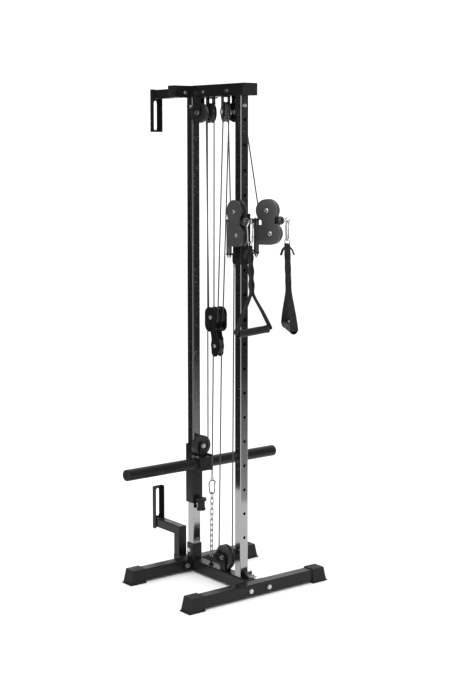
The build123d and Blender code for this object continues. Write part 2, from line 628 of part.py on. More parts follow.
for side_name, side in (("left", -1), ("right", 1)):
    angle = SWIVEL_ANGLE[side_name]
    place = Pos(side * HINGE_X, HINGE_Y, 0) * Rot(0, 0, angle)
    # In this frame -Y is outward. The outline is drawn with +X outward, so it is mirrored into place.
    outline = mirror(Plane.YZ * cheek_outline_2d(), about=Plane.XZ)
    frame = None
    for x in (CHEEK_IN, -CHEEK_IN - CHEEK):
        cheek = Pos(x, 0, 0) * extrude(outline, CHEEK, dir=(1, 0, 0))
        frame = cheek if frame is None else frame + cheek
    frame += block(-CHEEK_IN - CHEEK, CHEEK_IN + CHEEK, -14, -8, 1446, 1526)
    frame += Pos(0, 0, HINGE_Z[0]) * extrude(Circle(11), HINGE_Z[1] - HINGE_Z[0])
    frame -= Pos(0, 0, HINGE_Z[0]) * extrude(Circle(6 + HINGE_GAP), 300, both=True)
    half = CHEEK_IN + CHEEK
    for out, z in (UPPER, LOWER):
        frame += rod((-half - 2, -out, z), (half + 2, -out, z), AXLE_R)
    keep(f"{side_name}_swivel_frame", place * frame)
    for level, (out, z) in (("upper", UPPER), ("lower", LOWER)):
        keep(f"{side_name}_{level}_pulley", place * Pos(0, -out, z) * Rot(0, 90, 0) * pulley(SWIVEL_PULLEY))
    # Cable round the upper pulley and out between the two, into the ball.
    wrap = Pos(0, -UPPER[0], UPPER[1]) * cable_arc(SWIVEL_PULLEY[0], 0, -90)
    exit_run = cable((0, -UPPER[0], EXIT_Z), (0, -BALL_OUT, EXIT_Z))
    keep(f"{side_name}_swivel_cable", place * (wrap + exit_run))
    ball = Pos(0, -BALL_OUT, EXIT_Z) * Sphere(BALL_R)
    ball -= rod((0, -BALL_OUT - 2, EXIT_Z), (0, -BALL_OUT + 30, EXIT_Z), CABLE_R + RUN)
    ring = Pos(0, -RING_OUT, RING_Z) * Rot(0, 90, 0) * Torus(RING_R, RING_WIRE)
    shank = rod((0, -BALL_OUT - BALL_R + 3, EXIT_Z), (0, -RING_OUT + RING_R, EXIT_Z), 3.5)
    keep(f"{side_name}_ball_stop", place * (ball + (ring + shank)))
    hook_place = place * Pos(0, -RING_OUT, HOOK_Z)
    keep(f"{side_name}_carabiner", *hook_at(hook_place))
    keep(f"{side_name}_gate", hook_place * hook_gate(*HOOK))

    # Handle: a webbing neck, two legs and a grip that turns on the webbing inside it.
    centre, lean = GRIP_AT[side_name]
    centre, lean = Vector(*centre), Vector(*lean).normalized()
    flat = Vector(lean.X, lean.Y, 0).normalized()
    normal = Vector(-flat.Y, flat.X, 0)
    ring_bottom = hook_place * Pos(0, 0, STRAP_RING_DROP - STRAP_RING_R - RING_WIRE - RUN)
    top = Vector(*ring_bottom.position)
    apex = centre + (top - centre) * 0.46
    grip_plane = Plane(origin=centre, x_dir=normal, z_dir=lean)
    grip = extrude(Circle(GRIP_R) - Circle(GRIP_BORE), GRIP_HALF, both=True)
    keep(f"{side_name}_grip", grip_plane * grip)

    def webbing(start, end, width, thickness):
        """Flat strap between two points, its width across the handle's plane."""
        plane = Plane(origin=start, x_dir=normal, z_dir=end - start)
        return plane * extrude(Rectangle(width, thickness), (end - start).length)

    neck = webbing(top, apex, 24, 14)
    legs = None
    for end_side in (-1, 1):
        foot = centre + lean * (end_side * LEG_REACH)
        leg = webbing(apex, foot, 24, 3)
        legs = leg if legs is None else legs + leg
    inner = webbing(centre - lean * LEG_REACH, centre + lean * LEG_REACH, 22, 3)
    keep(f"{side_name}_strap", neck + legs + inner)

# ---- cables ---------------------------------------------------------------------------


def on_pulley(place, size, back):
    """Point where a vertical cable meets a pulley, on its back or its front side."""
    point = place * Pos(0, size[0] * (1 if back else -1), 0)
    return tuple(point.position)


for side_name, side in (("left", -1), ("right", 1)):
    rear = top_pulleys["rear", side_name]
    front = top_pulleys["front", side_name]
    keep("lift_cable", rear * cable_arc(TOP_PULLEY[0], 0, 180))
    keep("lift_cable", front * cable_arc(TOP_PULLEY[0], 0, 180))
    sheave_x = side * SHEAVE_X
    rear_back = on_pulley(rear, TOP_PULLEY, True)
    weight_side = (side * WEIGHT_PULLEY[0], WEIGHT_PULLEY_Y, WEIGHT_PULLEY_Z)
    keep("lift_cable", cable(rear_back, weight_side))
    block_back = (sheave_x, BLOCK_Y + BLOCK_SHEAVE[0], BLOCK_Z)
    block_front_side = (sheave_x, BLOCK_Y - BLOCK_SHEAVE[0], BLOCK_Z)
    keep("lift_cable", cable(on_pulley(rear, TOP_PULLEY, False), block_back))
    keep("lift_cable", cable(on_pulley(front, TOP_PULLEY, True), block_front_side))
    angle = SWIVEL_ANGLE[side_name]
    unit = Pos(side * HINGE_X, HINGE_Y, 0) * Rot(0, 0, angle)
    entry = unit * Pos(0, -UPPER[0] + SWIVEL_PULLEY[0], UPPER[1])
    keep("lift_cable", cable(on_pulley(front, TOP_PULLEY, False), tuple(entry.position)))
    keep("block_cable_wraps", Pos(sheave_x, BLOCK_Y, BLOCK_Z) * cable_arc(BLOCK_SHEAVE[0], 180, 180))
keep(
    "weight_cable_wrap",
    Pos(0, WEIGHT_PULLEY_Y, WEIGHT_PULLEY_Z) * Rot(0, 0, 90) * cable_arc(WEIGHT_PULLEY[0], 180, 180),
)
keep("block_cable_wraps", Pos(0, LOWER_Y, LOWER_Z) * cable_arc(LOWER_SHEAVE[0], 0, 180))
keep("adjust_cable", base_at * cable_arc(BASE_PULLEY[0], 180, 180))
hook_top = CHAIN_TOP + ANCHOR_HOOK[0] + 2
lower_back = (0, LOWER_Y + LOWER_SHEAVE[0], LOWER_Z)
lower_front = (0, LOWER_Y - LOWER_SHEAVE[0], LOWER_Z)
keep("adjust_cable", cable((0, hook_y, hook_top + 8), lower_back))
keep("adjust_cable", cable((0, BASE_PULLEY_Y + BASE_PULLEY[0], BASE_PULLEY_Z), lower_front))
keep(
    "adjust_cable",
    cable((0, BASE_PULLEY_Y - BASE_PULLEY[0], BASE_PULLEY_Z), (0, CABLE_LUG_Y, CARRIAGE_Z[0] + 3.7)),
)

# ---- fasteners ------------------------------------------------------------------------
for side in (-1, 1):
    for face_y, far_y in (
        (FOOT_FRONT_Y - TUBE / 2, FOOT_FRONT_Y + TUBE / 2 + FLANGE),
        (FOOT_REAR_Y - TUBE / 2 - FLANGE, FOOT_REAR_Y + TUBE / 2),
    ):
        z = FOOT_RISE + TUBE / 2
        keep("frame_bolts", through_bolt((side * FOOT_BOLT_X, face_y, z), (side * FOOT_BOLT_X, far_y, z)))
    keep("frame_bolts", bolt_head((side * 62, -TUBE / 2 - FLANGE, 2070), (0, -1, 0), 12, 5, 8))
    for bolt_y in (-118, -278):
        keep("frame_bolts", bolt_head((side * BEAM_WIDTH / 2, bolt_y, 2071), (side, 0, 0), 12, 5, 8))
keep("frame_bolts", through_bolt((-SOCKET / 2, 0, SOCKET_BOLT_Z), (SOCKET / 2, 0, SOCKET_BOLT_Z)))
keep("frame_bolts", through_bolt((-UPRIGHT / 2, 0, 2015), (UPRIGHT / 2, 0, 2015)))
keep("frame_bolts", bolt_head((0, front_face, 2010), (0, -1, 0), 12, 5, 8))
keep("frame_bolts", bolt_head((29, front_face - 20, UPRIGHT_FOOT_Z + 4), (0, 0, 1), 10, 5, 6))

# ---- write ----------------------------------------------------------------------------
whole = [solid for solids in pieces.values() for solid in solids]
boxes = [solid.bounding_box() for solid in whole]
low_y, high_y = min(b.min.Y for b in boxes), max(b.max.Y for b in boxes)
SHIFT_Y = -(low_y + high_y) / 2
os.makedirs("parts", exist_ok=True)
for name, solids in pieces.items():
    moved = [Pos(0, SHIFT_Y, 0) * solid for solid in solids]
    shape = moved[0] if len(moved) == 1 else Compound(children=moved)
    export_step(shape, f"parts/{name}.step")
print(len(pieces), "pieces, moved along Y by", round(SHIFT_Y, 3))
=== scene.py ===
import json
from math import ceil, cos, pi, radians, sin

import bpy
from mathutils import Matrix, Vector


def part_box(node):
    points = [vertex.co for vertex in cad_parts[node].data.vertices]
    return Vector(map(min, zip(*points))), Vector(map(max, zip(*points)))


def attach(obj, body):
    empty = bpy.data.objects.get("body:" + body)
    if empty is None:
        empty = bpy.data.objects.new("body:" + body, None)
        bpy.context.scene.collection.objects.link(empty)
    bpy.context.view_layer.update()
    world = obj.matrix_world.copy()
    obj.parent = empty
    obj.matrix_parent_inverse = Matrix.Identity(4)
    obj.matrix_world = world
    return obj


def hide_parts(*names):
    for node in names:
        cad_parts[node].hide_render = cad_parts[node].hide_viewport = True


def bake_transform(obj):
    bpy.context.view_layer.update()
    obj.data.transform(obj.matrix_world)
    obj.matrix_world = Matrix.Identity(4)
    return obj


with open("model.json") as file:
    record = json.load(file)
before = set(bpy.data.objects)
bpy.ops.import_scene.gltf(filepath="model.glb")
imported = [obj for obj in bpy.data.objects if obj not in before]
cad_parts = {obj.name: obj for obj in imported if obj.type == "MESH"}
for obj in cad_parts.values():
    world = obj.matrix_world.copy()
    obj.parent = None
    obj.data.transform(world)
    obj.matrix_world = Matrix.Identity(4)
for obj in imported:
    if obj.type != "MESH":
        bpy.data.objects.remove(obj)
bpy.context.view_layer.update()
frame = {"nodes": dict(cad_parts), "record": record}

# A plate-loaded cable pulley tower. Metres. Places come from the frame's boxes and joints.
MM = 0.001
UP = Vector((0, 0, 1))
SIDES = ("left", "right")
JOINTS = {j["name"]: j for j in frame["record"]["behaviour"]["joints"]}
REAR_Y = sum(corner.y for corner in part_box("rear_upright")) / 2   # the rear upright's centre line


def joint_at(name):
    return Vector(JOINTS[name]["pos_m"])


def joint_axis(name):
    return Vector(JOINTS[name]["axis"]).normalized()


# ---- camera ---------------------------------------------------------------------------
CAMERA_AT = (-3.4693, REAR_Y - 4.7117, 1.83706)
CAMERA_YAW = 37.891
CAMERA_PITCH = -6.0
FOCAL = 71.52
SHIFT_Y = -0.0757

camera = bpy.data.objects.new("camera", bpy.data.cameras.new("camera"))
bpy.context.scene.collection.objects.link(camera)
camera.location = CAMERA_AT
camera.rotation_euler = (radians(90 + CAMERA_PITCH), 0, radians(-CAMERA_YAW))
camera.data.lens = FOCAL
camera.data.sensor_width = 36
camera.data.shift_y = SHIFT_Y
camera.data.clip_end = 200
bpy.context.scene.camera = camera


# ---- materials ------------------------------------------------------------------------
def material(
    name, dark, light, rough, metallic=0.0, scale=60.0, stretch=(1, 1, 1), grain=0.2, depth=0.0002,
    coat=0.0, sheen=0.0, wave=None, specular=0.5, flecks=0.0,
):
    """Procedural surface. Noise mixes two colours and two roughness values, and gives the bump.

    wave is (scale, direction, depth) of a fine weave or rib laid over the noise.
    flecks is the roughness of small worn spots.
    """
    made = bpy.data.materials.new(name)
    made.use_nodes = True
    nodes, links = made.node_tree.nodes, made.node_tree.links
    shader = nodes["Principled BSDF"]
    shader.inputs["Metallic"].default_value = metallic
    shader.inputs["Coat Weight"].default_value = coat
    shader.inputs["Coat Roughness"].default_value = 0.15
    shader.inputs["Sheen Weight"].default_value = sheen
    shader.inputs["Specular IOR Level"].default_value = specular
    place = nodes.new("ShaderNodeTexCoord")
    mapping = nodes.new("ShaderNodeMapping")
    mapping.inputs["Scale"].default_value = stretch
    links.new(place.outputs["Object"], mapping.inputs["Vector"])
    large = nodes.new("ShaderNodeTexNoise")
    large.inputs["Scale"].default_value = scale / 8
    large.inputs["Detail"].default_value = 4
    links.new(mapping.outputs["Vector"], large.inputs["Vector"])
    fine = nodes.new("ShaderNodeTexNoise")
    fine.inputs["Scale"].default_value = scale * 8
    fine.inputs["Detail"].default_value = 3
    links.new(mapping.outputs["Vector"], fine.inputs["Vector"])
    colour = nodes.new("ShaderNodeMix")
    colour.data_type = "RGBA"
    colour.inputs["A"].default_value = (*dark, 1)
    colour.inputs["B"].default_value = (*light, 1)
    links.new(large.outputs["Fac"], colour.inputs["Factor"])
    links.new(colour.outputs["Result"], shader.inputs["Base Color"])
    spread = nodes.new("ShaderNodeMapRange")
    spread.inputs["From Min"].default_value = 0.3
    spread.inputs["From Max"].default_value = 0.7
    spread.inputs["To Min"].default_value = rough * (1 - grain)
    spread.inputs["To Max"].default_value = rough * (1 + grain)
    links.new(large.outputs["Fac"], spread.inputs["Value"])
    links.new(spread.outputs["Result"], shader.inputs["Roughness"])
    if flecks:
        spots = nodes.new("ShaderNodeTexNoise")
        spots.inputs["Scale"].default_value = 140
        spots.inputs["Detail"].default_value = 2
        links.new(place.outputs["Object"], spots.inputs["Vector"])
        worn = nodes.new("ShaderNodeMapRange")
        worn.inputs["From Min"].default_value = 0.66
        worn.inputs["From Max"].default_value = 0.72
        links.new(spots.outputs["Fac"], worn.inputs["Value"])
        rougher = nodes.new("ShaderNodeMix")
        rougher.data_type = "FLOAT"
        rougher.inputs["B"].default_value = flecks
        links.new(worn.outputs["Result"], rougher.inputs["Factor"])
        links.new(spread.outputs["Result"], rougher.inputs["A"])
        links.new(rougher.outputs["Result"], shader.inputs["Roughness"])
    bump = nodes.new("ShaderNodeBump")
    bump.inputs["Distance"].default_value = depth
    bump.inputs["Strength"].default_value = 0.6
    links.new(fine.outputs["Fac"], bump.inputs["Height"])
    normal = bump
    if wave:
        wave_scale, direction, wave_depth = wave
        rib = nodes.new("ShaderNodeTexWave")
        rib.bands_direction = direction
        rib.inputs["Scale"].default_value = wave_scale
        rib.inputs["Distortion"].default_value = 0.4
        links.new(mapping.outputs["Vector"], rib.inputs["Vector"])
        weave = nodes.new("ShaderNodeBump")
        weave.inputs["Distance"].default_value = wave_depth
        weave.inputs["Strength"].default_value = 0.8
        links.new(rib.outputs["Fac"], weave.inputs["Height"])
        links.new(bump.outputs["Normal"], weave.inputs["Normal"])
        normal = weave
    links.new(normal.outputs["Normal"], shader.inputs["Normal"])
    return made


MATERIALS = {
    "black_steel": material(
        "black_powder_coat", (0.004, 0.004, 0.0042), (0.008, 0.008, 0.0085), 0.32, scale=90, depth=0.00012,
        specular=0.22,
    ),
    "chrome_tube": material(
        "chrome_plate", (0.27, 0.27, 0.275), (0.36, 0.36, 0.365), 0.09, metallic=1, scale=40,
        stretch=(1, 1, 0.2), grain=0.5, depth=0.00002, flecks=0.55,
    ),
    "zinc": material(
        "zinc_plate", (0.42, 0.42, 0.4), (0.62, 0.62, 0.6), 0.3, metallic=1, scale=160, depth=0.00005
    ),
    "bright_chrome": material(
        "polished_chrome", (0.3, 0.28, 0.25), (0.62, 0.6, 0.56), 0.12, metallic=1, scale=300, depth=0.00003
    ),
    "black_rubber": material(
        "moulded_rubber", (0.006, 0.006, 0.006), (0.012, 0.012, 0.012), 0.55, scale=120, depth=0.0002,
        specular=0.2,
    ),
    "knob_plastic": material(
        "knob_plastic", (0.008, 0.008, 0.008), (0.014, 0.014, 0.014), 0.35, scale=120, depth=0.0001
    ),
    "liner_nylon": material(
        "liner_nylon", (0.02, 0.02, 0.02), (0.03, 0.03, 0.03), 0.5, scale=120, depth=0.0001
    ),
    "pulley_nylon": material(
        "filled_nylon", (0.007, 0.007, 0.007), (0.014, 0.014, 0.015), 0.33, scale=120, depth=0.0001
    ),
    "cable_coat": material(
        "cable_coat", (0.01, 0.01, 0.01), (0.02, 0.02, 0.021), 0.3, scale=200, depth=0.00005,
        wave=(260, "DIAGONAL", 0.0002), coat=0.3,
    ),
    "webbing": material(
        "woven_webbing", (0.004, 0.004, 0.004), (0.01, 0.01, 0.01), 0.7, scale=250, depth=0.0002,
        wave=(320, "Z", 0.0004), sheen=0.02, specular=0.25,
    ),
    "grip_foam": material(
        "ribbed_rubber", (0.005, 0.005, 0.005), (0.011, 0.011, 0.011), 0.5, scale=220, depth=0.0003,
        specular=0.3,
    ),
}
THREAD = material("stitch_thread", (0.03, 0.03, 0.03), (0.05, 0.05, 0.05), 0.6, scale=300, depth=0.0001)
# Black coat for the swivel plates, lifted to dark grey. The grey is painted sheen standing in for the light
# the plates catch. Only the lower roughness is a real finish.
SHEEN_PAINTED_PLATE = material(
    "black_plate_painted_sheen", (0.03, 0.03, 0.031), (0.042, 0.042, 0.043), 0.36, scale=90, depth=0.0001
)
CHAIN = material(
    "galvanised_chain", (0.16, 0.16, 0.155), (0.3, 0.3, 0.29), 0.3, metallic=1, scale=300, depth=0.0001
)

for row in frame["record"]["subparts"]:
    node = frame["nodes"][row["node"]]
    node.data.materials.clear()
    node.data.materials.append(MATERIALS[row["material_slot"]])
    node.data.shade_smooth()
    node.data.set_sharp_from_angle(angle=radians(32))


def second_material(node_name, surface, chosen):
    """Gives a CAD node's faces a second material where chosen(face centre) is true."""
    mesh = frame["nodes"][node_name].data
    mesh.materials.append(surface)
    for face in mesh.polygons:
        if chosen(face.center):
            face.material_index = 1


EYE_HEIGHT = 34 * MM       # the black eye at the foot of the chain
frame["nodes"]["anchor_chain"].data.materials[0] = CHAIN
chain_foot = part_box("anchor_chain")[0].z
second_material("anchor_chain", MATERIALS["black_steel"], lambda at: at.z < chain_foot + EYE_HEIGHT)
BALL_R = 18 * MM
BALL_IN = 31 * MM          # the ball's centre, inward from the hook's pivot
BALL_SKIN = 0.6 * MM       # faces further out than this belong to the fitting
for side in SIDES:
    # The swivel frames get the lifted grey black: painted sheen, not their own colour.
    frame["nodes"][f"{side}_swivel_frame"].data.materials[0] = SHEEN_PAINTED_PLATE
    low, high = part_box(f"{side}_ball_stop")
    middle_z = (low.z + high.z) / 2
    outward = joint_axis(f"{side}_cable_pull")
    ball_at = joint_at(f"{side}_handle_swing") - outward * BALL_IN
    ball_at.z = middle_z
    frame["nodes"][f"{side}_ball_stop"].data.materials[0] = MATERIALS["knob_plastic"]
    second_material(
        f"{side}_ball_stop", MATERIALS["bright_chrome"],
        lambda at, centre=ball_at: (at - centre).length > BALL_R + BALL_SKIN,
    )


# ---- mesh helpers -----------------------------------------------------------------------
def add_mesh(name, points, faces, slot_name, smooth=True, surface=None):
    """New object from points and faces, in the row frame."""
    mesh = bpy.data.meshes.new(name)
    mesh.from_pydata([tuple(p) for p in points], [], faces)
    mesh.materials.append(surface or MATERIALS[slot_name])
    if smooth:
        mesh.shade_smooth()
        mesh.set_sharp_from_angle(angle=radians(40))
    made = bpy.data.objects.new(name, mesh)
    bpy.context.scene.collection.objects.link(made)
    return made


def rings_to_faces(ring_count, size, first=0, capped=True):
    """Quads between rings of the same size, with a face on each end."""
    faces = []
    for r in range(ring_count - 1):
        low, high = first + r * size, first + (r + 1) * size
        for k in range(size):
            n = (k + 1) % size
            faces.append((low + k, low + n, high + n, high + k))
    if capped:
        faces.append(tuple(first + k for k in reversed(range(size))))
        faces.append(tuple(first + (ring_count - 1) * size + k for k in range(size)))
    return faces


def tangents(path):
    """Direction of the path at each point."""
    found = []
    for k in range(len(path)):
        before, after = path[max(k - 1, 0)], path[min(k + 1, len(path) - 1)]
        found.append((after - before).normalized())
    return found


def tube_data(path, radius, sides=12, first=0):
    """Points and faces of a round tube along a path."""
    points = []
    across = tangents(path)[0].orthogonal().normalized()
    for at, along in zip(path, tangents(path)):
        across = (across - along * across.dot(along)).normalized()
        other = along.cross(across)
        for k in range(sides):
            turn = 2 * pi * k / sides
            points.append(at + (across * cos(turn) + other * sin(turn)) * radius)
    return points, rings_to_faces(len(path), sides, first)


def tube(name, path, radius, slot_name, sides=12):
    points, faces = tube_data(path, radius, sides)
    return add_mesh(name, points, faces, slot_name)


def lathe(name, at, axis, profile, slot_name, sides=40):
    """Turned shape: profile is a closed list of (distance along the axis, radius)."""
    axis = Vector(axis).normalized()
    across = axis.orthogonal().normalized()
    other = axis.cross(across)
    points, faces = [], []
    count = len(profile)
    for k in range(sides):
        turn = 2 * pi * k / sides
        out = across * cos(turn) + other * sin(turn)
        points += [Vector(at) + axis * along + out * radius for along, radius in profile]
    for k in range(sides):
        low, high = k * count, (k + 1) % sides * count
        for j in range(count):
            n = (j + 1) % count
            faces.append((low + j, low + n, high + n, high + j))
    return add_mesh(name, points, faces, slot_name)


def line(start, end, step=12 * MM):
    """Evenly spaced points from start to end."""
    start, end = Vector(start), Vector(end)
    count = max(2, ceil((end - start).length / step))
    return [start.lerp(end, k / count) for k in range(count + 1)]


def rounded(path, rounds=3):
    """The path with its corners cut, as a soft strap lies."""
    for _ in range(rounds):
        cut = [path[0]]
        for a, b in zip(path, path[1:]):
            cut += [a.lerp(b, 0.25), a.lerp(b, 0.75)]
        path = cut + [path[-1]]
    return path


def ribbon_data(path, wide, width, thickness, first=0, widen=None):
    """Points and faces of flat webbing along a path, with its width along wide.

    widen gives the width's factor at a share of the path.
    """
    edge = thickness / 2
    shoulder = 1 - 0.6 * thickness / width
    outline = [(shoulder, edge), (1, 0), (shoulder, -edge), (0, -edge * 1.05)]
    outline += [(-shoulder, -edge), (-1, 0), (-shoulder, edge), (0, edge * 1.05)]
    points = []
    for k, (at, along) in enumerate(zip(path, tangents(path))):
        side = (wide - along * wide.dot(along)).normalized()
        face = along.cross(side)
        half = width / 2 * (widen(k / (len(path) - 1)) if widen else 1)
        points += [at + side * u * half + face * v for u, v in outline]
    return points, rings_to_faces(len(path), len(outline), first)


# ---- cables -----------------------------------------------------------------------------
CABLE_R = 2.75 * MM
TOP_PITCH = 36 * MM
WEIGHT_PITCH = 38 * MM
BASE_PITCH = 46 * MM
SHEAVE_PITCH = 31 * MM
LOWER_PITCH = 28.5 * MM
SWIVEL_PITCH = 40 * MM
SPLIT_ABOVE = 80 * MM      # where the run to a swivel changes from the carriage to the swivel
BALL_AWAY = 55 * MM        # ball stop's centre, outward from the upper pulley's lowest point


def wheel_point(name, radius, angle):
    """Point on a wheel. Seen along its axle, 0 is behind it and 90 is above it."""
    behind = UP.cross(joint_axis(name))
    return joint_at(name) + (behind * cos(radians(angle)) + UP * sin(radians(angle))) * radius


def arc(name, radius, start, end, count=16):
    step = (end - start) / count
    return [wheel_point(name, radius, start + k * step) for k in range(count + 1)]


def cable(name, path, replaced):
    made = tube(name, path, CABLE_R, "cable_coat")
    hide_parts(*replaced)
    return made


for side in SIDES:
    rear = f"rear_{side}_top_pulley_spin"
    front = f"front_{side}_top_pulley_spin"
    sheave = f"block_{side}_sheave_spin"
    upper = f"{side}_upper_pulley_spin"
    weight = "weight_pulley_spin"
    low, flank = (-90, 0) if side == "left" else (270, 180)

    top_back = wheel_point(rear, TOP_PITCH, 0)
    weight_flank = wheel_point(weight, WEIGHT_PITCH, flank)
    path = arc(weight, WEIGHT_PITCH, low, flank) + line(weight_flank, top_back)[1:-1]
    run = cable(f"{side}_weight_run", path + arc(rear, TOP_PITCH, 0, 90), ("lift_cable", "weight_cable_wrap"))
    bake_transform(run)

    top_front = wheel_point(rear, TOP_PITCH, 180)
    sheave_back = wheel_point(sheave, SHEAVE_PITCH, 0)
    path = arc(rear, TOP_PITCH, 90, 180) + line(top_front, sheave_back)[1:-1]
    path += arc(sheave, SHEAVE_PITCH, 0, -90)
    run = cable(f"{side}_block_rear_run", path, ("lift_cable", "block_cable_wraps"))
    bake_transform(run)

    sheave_front = wheel_point(sheave, SHEAVE_PITCH, -180)
    top_back = wheel_point(front, TOP_PITCH, 0)
    path = arc(sheave, SHEAVE_PITCH, -90, -180) + line(sheave_front, top_back)[1:-1]
    path += arc(front, TOP_PITCH, 0, 90)
    run = cable(f"{side}_block_front_run", path, ("lift_cable", "block_cable_wraps"))
    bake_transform(run)

    top_front = wheel_point(front, TOP_PITCH, 180)
    entry = wheel_point(upper, SWIVEL_PITCH, 0)
    split = entry + (top_front - entry).normalized() * SPLIT_ABOVE
    path = arc(front, TOP_PITCH, 90, 180) + line(top_front, split)[1:]
    run = cable(f"{side}_carriage_run", path, ("lift_cable",))
    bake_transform(run)

    path = line(split, entry, 4 * MM)[:-1] + arc(upper, SWIVEL_PITCH, 0, -90)
    run = cable(f"{side}_swivel_run", path, ("lift_cable", f"{side}_swivel_cable"))
    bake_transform(run)

    leave = wheel_point(upper, SWIVEL_PITCH, -90)
    outward = joint_axis(f"{side}_cable_pull")
    path = line(leave, leave + outward * BALL_AWAY, 4 * MM)
    run = cable(f"{side}_end_run", path, (f"{side}_swivel_cable",))
    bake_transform(run)

carriage_low, carriage_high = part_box("pulley_carriage")
chain_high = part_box("anchor_chain")[1]
LUG_IN = 8 * MM            # the carriage's cable lug, from its back edge
HOOK_AHEAD = 129 * MM      # the chain's hook, in front of the rear upright's centre
base, lower = "base_pulley_spin", "block_lower_sheave_spin"
lug = Vector((0, carriage_high.y - LUG_IN, carriage_low.z + 4 * MM))
base_front = wheel_point(base, BASE_PITCH, -180)
base_back = wheel_point(base, BASE_PITCH, 0)
lower_front = wheel_point(lower, LOWER_PITCH, 180)
lower_back = wheel_point(lower, LOWER_PITCH, 0)
hook_top = Vector((0, REAR_Y - HOOK_AHEAD, chain_high.z + 5 * MM))

path = arc(base, BASE_PITCH, -90, -180) + line(base_front, lug)[1:]
run = cable("adjust_front_run", path, ("adjust_cable",))
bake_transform(run)
path = arc(base, BASE_PITCH, -90, 0) + line(base_back, lower_front)[1:-1] + arc(lower, LOWER_PITCH, 180, 90)
run = cable("adjust_middle_run", path, ("adjust_cable", "block_cable_wraps"))
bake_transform(run)
path = line(hook_top, lower_back)[:-1] + arc(lower, LOWER_PITCH, 0, 90)
run = cable("adjust_chain_run", path, ("adjust_cable", "block_cable_wraps"))
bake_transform(run)

FERRULE = [(-9, 3), (-8, 4.6), (-3, 5), (3, 5), (8, 4.6), (9, 3)]


def ferrule(name, at, axis, body):
    """Pressed sleeve on a cable's end."""
    profile = [(a * MM, r * MM) for a, r in FERRULE] + [(9 * MM, 2.9 * MM), (-9 * MM, 2.9 * MM)]
    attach(lathe(name, at, axis, profile, "zinc", 24), body)


def cable_eye(name, at, body):
    """Small loop of cable and its sleeve, over a hook or lug."""
    ferrule(f"{name}_sleeve", at + UP * 12 * MM, UP, body)
    r = 6.5 * MM
    path = [at + Vector((r * sin(t), 0, -r * cos(t))) * (1 if abs(t) < 2.2 else 0.98) for t in
            [radians(-150 + 15 * k) for k in range(21)]]
    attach(tube(name, path, 1.6 * MM, "cable_coat", 10), body)


cable_eye("chain_cable_eye", hook_top, "frame")
ferrule("carriage_cable_sleeve", lug - UP * 14 * MM, UP, "pulley_carriage")
for side in SIDES:
    leave = wheel_point(f"{side}_upper_pulley_spin", SWIVEL_PITCH, -90)
    outward = joint_axis(f"{side}_cable_pull")
    ferrule(f"{side}_end_ferrule", leave + outward * (BALL_AWAY + 19 * MM), outward, f"{side}_cable_end")


# ---- bolts and bearings -------------------------------------------------------------------
def hexagon(name, at, axis, across_flats, height, washer, body, thread=0.0):
    """Chamfered hexagon head or nut on a washer, with the end of its thread."""
    axis = Vector(axis).normalized()
    side = axis.orthogonal().normalized()
    other = axis.cross(side)
    points, faces = [], []
    corner = across_flats / 2 / cos(pi / 6)
    levels = ((1.6 * MM, corner), (1.6 * MM + height * 0.8, corner), (1.6 * MM + height, corner * 0.86))
    for along, radius in levels:
        for k in range(6):
            turn = pi * k / 3
            points.append(Vector(at) + axis * along + (side * cos(turn) + other * sin(turn)) * radius)
    faces += rings_to_faces(3, 6)
    sides = 32
    rings = [(0, washer - 0.3 * MM), (0.4 * MM, washer), (1.3 * MM, washer), (1.6 * MM, washer - 0.4 * MM)]
    if thread:
        tip = height + thread
        rings += [(1.6 * MM, 4 * MM), (tip + 1.4 * MM, 4 * MM), (tip + 1.8 * MM, 3.4 * MM)]
    first = len(points)
    for along, radius in rings:
        for k in range(sides):
            turn = 2 * pi * k / sides
            points.append(Vector(at) + axis * along + (side * cos(turn) + other * sin(turn)) * radius)
    faces += rings_to_faces(len(rings), sides, first)
    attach(add_mesh(name, points, faces, "zinc"), body)


def axle_ends(name, joint, half, body):
    """Bolt head on one face and nut on the other."""
    at, axis = joint_at(joint), joint_axis(joint)
    hexagon(f"{name}_head", at - axis * half, -axis, ACROSS_FLATS, HEAD, WASHER, body)
    hexagon(f"{name}_nut", at + axis * half, axis, ACROSS_FLATS, NUT, WASHER, body, thread=1.5 * MM)


SWIVEL_FACE = 16.05 * MM   # outer faces of the swivel cheeks, from the middle
BLOCK_FACE = 29.05 * MM
BLOCK_LOW_FACE = 15.55 * MM
ACROSS_FLATS = 13 * MM
HEAD = 5.5 * MM
NUT = 6.5 * MM
WASHER = 9 * MM
for side in SIDES:
    for level in ("upper", "lower"):
        axle_ends(f"{side}_{level}_axle", f"{side}_{level}_pulley_spin", SWIVEL_FACE, f"{side}_swivel")
block_centre = (joint_at("block_left_sheave_spin") + joint_at("block_right_sheave_spin")) / 2
for tag, sign, height in (("head", -1, HEAD), ("nut", 1, NUT)):
    outward = Vector((sign, 0, 0))
    at = block_centre + outward * BLOCK_FACE
    hexagon(f"block_axle_{tag}", at, outward, ACROSS_FLATS, height, WASHER, "floating_block")
axle_ends("block_low_axle", lower, BLOCK_LOW_FACE, "floating_block")


def bearing(body, joint, half_width):
    """Bearing shields in both faces of a pulley's hub."""
    at, axis = joint_at(joint), joint_axis(joint)
    for tag, sign in (("a", 1), ("b", -1)):
        face = half_width
        profile = [
            (face - 1.5 * MM, 11.6 * MM), (face + 0.3 * MM, 11.6 * MM), (face + 0.5 * MM, 11 * MM),
            (face + 0.5 * MM, 9.8 * MM), (face + 0.1 * MM, 9.4 * MM), (face + 0.1 * MM, 7.4 * MM),
            (face + 0.5 * MM, 7.0 * MM), (face + 0.5 * MM, 5.3 * MM), (face - 1.5 * MM, 5.3 * MM),
        ]
        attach(lathe(f"{body}_bearing_{tag}", at, axis * sign, profile, "zinc", 36), body)


HALF_WIDTH = {"base_pulley": 11 * MM}
for name in JOINTS:
    body = name.removesuffix("_spin")
    if name.endswith("_spin") and not body.endswith("grip"):
        bearing(body, name, HALF_WIDTH.get(body, 10 * MM))

